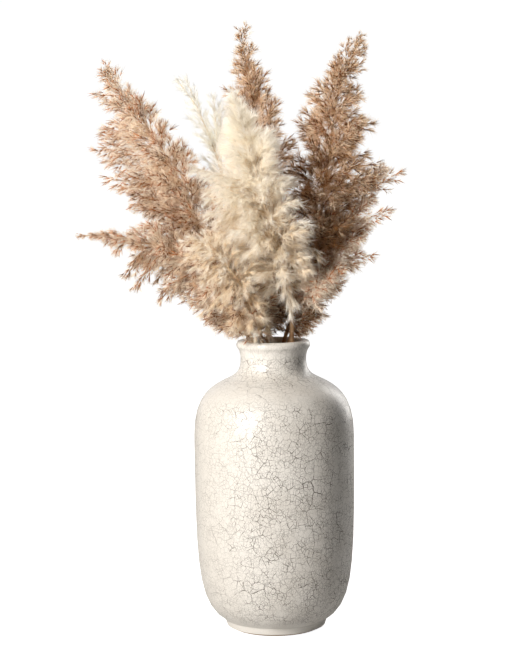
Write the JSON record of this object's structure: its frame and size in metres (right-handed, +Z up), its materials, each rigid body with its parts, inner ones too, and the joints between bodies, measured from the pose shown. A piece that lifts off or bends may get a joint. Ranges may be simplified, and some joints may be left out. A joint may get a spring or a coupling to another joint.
{
  "type": "dried grass arrangement in vase",
  "caption": "Dried pampas grass and reed plumes on loose stems, standing in a tall round-shouldered ceramic vase with a short flared neck and a crackle glaze.",
  "frame": {"origin": "centre of the vase's flat base, on the surface that it stands on", "axes": "+Z up along the vase's axis, -Y towards the viewer, +X to the viewer's right"},
  "size_m": [0.3375, 0.1766, 0.638],
  "materials": {
    "crackle_glaze": "glossy cream glaze with fine dark crackle lines, unglazed at the foot's edge",
    "dry_stem": "dry matt grass stem, tan to brown",
    "pampas_plume": "soft silky plume, cream to pale straw",
    "reed_plume": "dry feathery plume, beige hairs with copper-brown spikelets"
  },
  "bodies": {
    "root": {"vase": "crackle_glaze", "stem_pampas_front": "dry_stem", "stem_reed_left": "dry_stem", "stem_reed_back": "dry_stem", "stem_reed_right": "dry_stem", "stem_pampas_slim": "dry_stem", "stem_reed_low_left": "dry_stem", "stem_pampas_low": "dry_stem", "stem_reed_low_right": "dry_stem", "plume_pampas_front": "pampas_plume", "plume_pampas_slim": "pampas_plume", "plume_pampas_low": "pampas_plume", "plume_reed_left": "reed_plume", "plume_reed_back": "reed_plume", "plume_reed_right": "reed_plume", "plume_reed_low_left": "reed_plume", "plume_reed_low_right": "reed_plume"}
  },
  "joints": []
}
